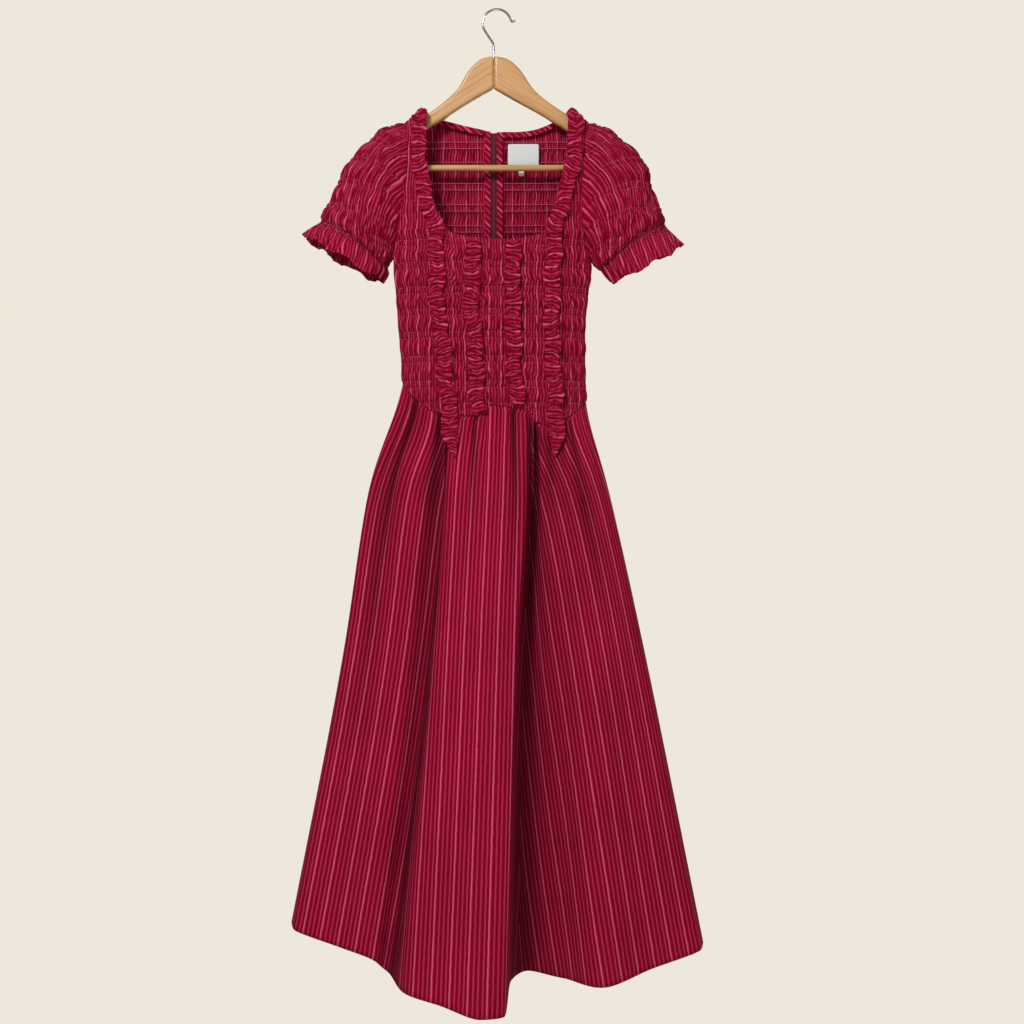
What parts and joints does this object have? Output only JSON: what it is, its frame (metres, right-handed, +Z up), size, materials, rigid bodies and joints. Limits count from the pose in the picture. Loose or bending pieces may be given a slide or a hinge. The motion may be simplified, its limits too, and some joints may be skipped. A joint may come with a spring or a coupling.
{
  "type": "ruffle midi dress on a wooden hanger",
  "caption": "Striped cotton midi dress with a shirred bodice, stitched ruffle strips, short puffed sleeves and a gathered skirt, hanging on a wooden hanger by its hook.",
  "frame": {"origin": "inside top of the hanger's hook, where a rod or wall hook carries it", "axes": "+Z up, the front of the dress faces -Y, +X to the viewer's right"},
  "size_m": [0.567, 0.2097, 1.3544],
  "materials": {
    "striped_cotton": "woven crimson cotton with fine pink stripes",
    "zip_tape_plum": "dark plum woven zip tape",
    "zip_metal": "satin grey metal",
    "label_white": "white woven tape, bare",
    "beech_wood": "light beech, clear satin varnish",
    "chromed_wire": "bright chrome"
  },
  "bodies": {
    "dress": {"bodice_front": "striped_cotton", "bodice_back_left": "striped_cotton", "bodice_back_right": "striped_cotton", "sleeve_left": "striped_cotton", "sleeve_right": "striped_cotton", "skirt_front": "striped_cotton", "skirt_back_left": "striped_cotton", "skirt_back_right": "striped_cotton", "outer_ruffle_left": "striped_cotton", "outer_ruffle_right": "striped_cotton", "inner_ruffle_left": "striped_cotton", "inner_ruffle_right": "striped_cotton", "neck_binding_left": "striped_cotton", "neck_binding_right": "striped_cotton", "zip_binding_left": "striped_cotton", "zip_binding_right": "striped_cotton", "zip_tape": "zip_tape_plum", "zip_coil": "zip_tape_plum", "zip_slider": "zip_metal", "neck_label": "label_white", "size_tab": "label_white", "hanger_arm_left": "beech_wood", "hanger_arm_right": "beech_wood", "hanger_bar": "beech_wood", "hanger_hook": "chromed_wire"},
    "pull_tab": {"zip_pull": "zip_metal"}
  },
  "joints": [
    {"name": "pull_tab_hinge", "type": "hinge", "parent": "dress", "child": "pull_tab", "pos_m": [-0.0047, 0.0219, -0.173], "axis": [1, 0, 0], "range_deg": [0, 170]}
  ]
}
